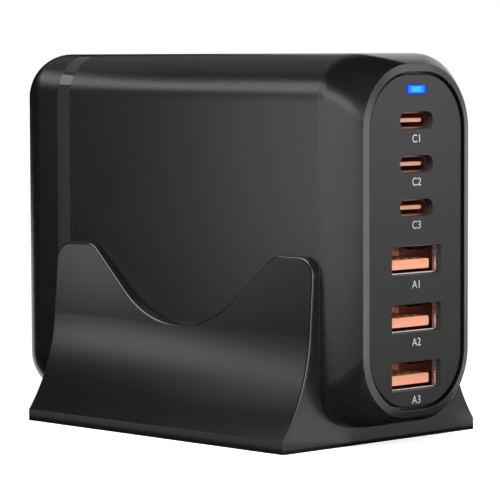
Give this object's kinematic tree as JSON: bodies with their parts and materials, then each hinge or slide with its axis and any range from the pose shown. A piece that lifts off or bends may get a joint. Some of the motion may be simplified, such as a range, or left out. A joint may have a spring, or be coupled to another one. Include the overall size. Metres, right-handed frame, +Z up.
{
  "type": "multi-port usb charger",
  "caption": "Upright desktop USB charger with a rounded housing, a column of USB-C and USB-A sockets under a status light, in a flared stand with wave-cut sides.",
  "frame": {"origin": "middle of the stand's foot, on the table", "axes": "+X towards the sockets, +Y across the charger, +Z up"},
  "size_m": [0.0984, 0.0532, 0.0741],
  "materials": {
    "stand_plastic": "fine satin, dark grey",
    "housing_plastic": "satin, dark grey",
    "cap_plastic": "satin, near black",
    "trim_gloss": "polished, near black",
    "panel_plastic": "satin, grey",
    "light_window": "clear blue, lit",
    "light_diode": "white package, lit",
    "socket_steel": "drawn sheet",
    "socket_plastic": "moulded, orange",
    "contact_metal": "plated",
    "board_laminate": "green solder mask",
    "ferrite": "dull grey ferrite",
    "winding_tape": "yellow tape",
    "can_aluminium": "drawn can",
    "x_cap_plastic": "moulded box",
    "package_plastic": "moulded package",
    "thermal_rubber": "soft pad",
    "spreader_aluminium": "plain sheet",
    "inlet_plastic": "moulded, black",
    "inlet_metal": "nickel plated"
  },
  "bodies": {
    "root": {"stand": "stand_plastic", "sleeve": "housing_plastic", "front_shroud": "housing_plastic", "rear_cap": "cap_plastic", "trim_band": "trim_gloss", "front_panel": "panel_plastic", "light_pipe": "light_window", "status_led": "light_diode", "usb_c_shell_1": "socket_steel", "usb_c_shell_2": "socket_steel", "usb_c_shell_3": "socket_steel", "usb_a_shell_1": "socket_steel", "usb_a_shell_2": "socket_steel", "usb_a_shell_3": "socket_steel", "usb_c_insulator_1": "socket_plastic", "usb_c_insulator_2": "socket_plastic", "usb_c_insulator_3": "socket_plastic", "usb_a_insulator_1": "socket_plastic", "usb_a_insulator_2": "socket_plastic", "usb_a_insulator_3": "socket_plastic", "usb_a_contacts_1": "contact_metal", "usb_a_contacts_2": "contact_metal", "usb_a_contacts_3": "contact_metal", "port_board": "board_laminate", "main_board": "board_laminate", "transformer_core": "ferrite", "choke": "ferrite", "output_inductor_1": "ferrite", "output_inductor_2": "ferrite", "output_inductor_3": "ferrite", "transformer_winding": "winding_tape", "bulk_capacitor_1": "can_aluminium", "bulk_capacitor_2": "can_aluminium", "output_capacitor_1": "can_aluminium", "output_capacitor_2": "can_aluminium", "output_capacitor_3": "can_aluminium", "output_capacitor_4": "can_aluminium", "x_capacitor": "x_cap_plastic", "bridge_rectifier": "package_plastic", "fuse": "package_plastic", "power_switch_1": "package_plastic", "power_switch_2": "package_plastic", "thermal_pad": "thermal_rubber", "heat_spreader": "spreader_aluminium", "ac_inlet": "inlet_plastic", "inlet_pin_1": "inlet_metal", "inlet_pin_2": "inlet_metal", "inlet_terminal_1": "inlet_metal", "inlet_terminal_2": "inlet_metal"}
  },
  "joints": []
}
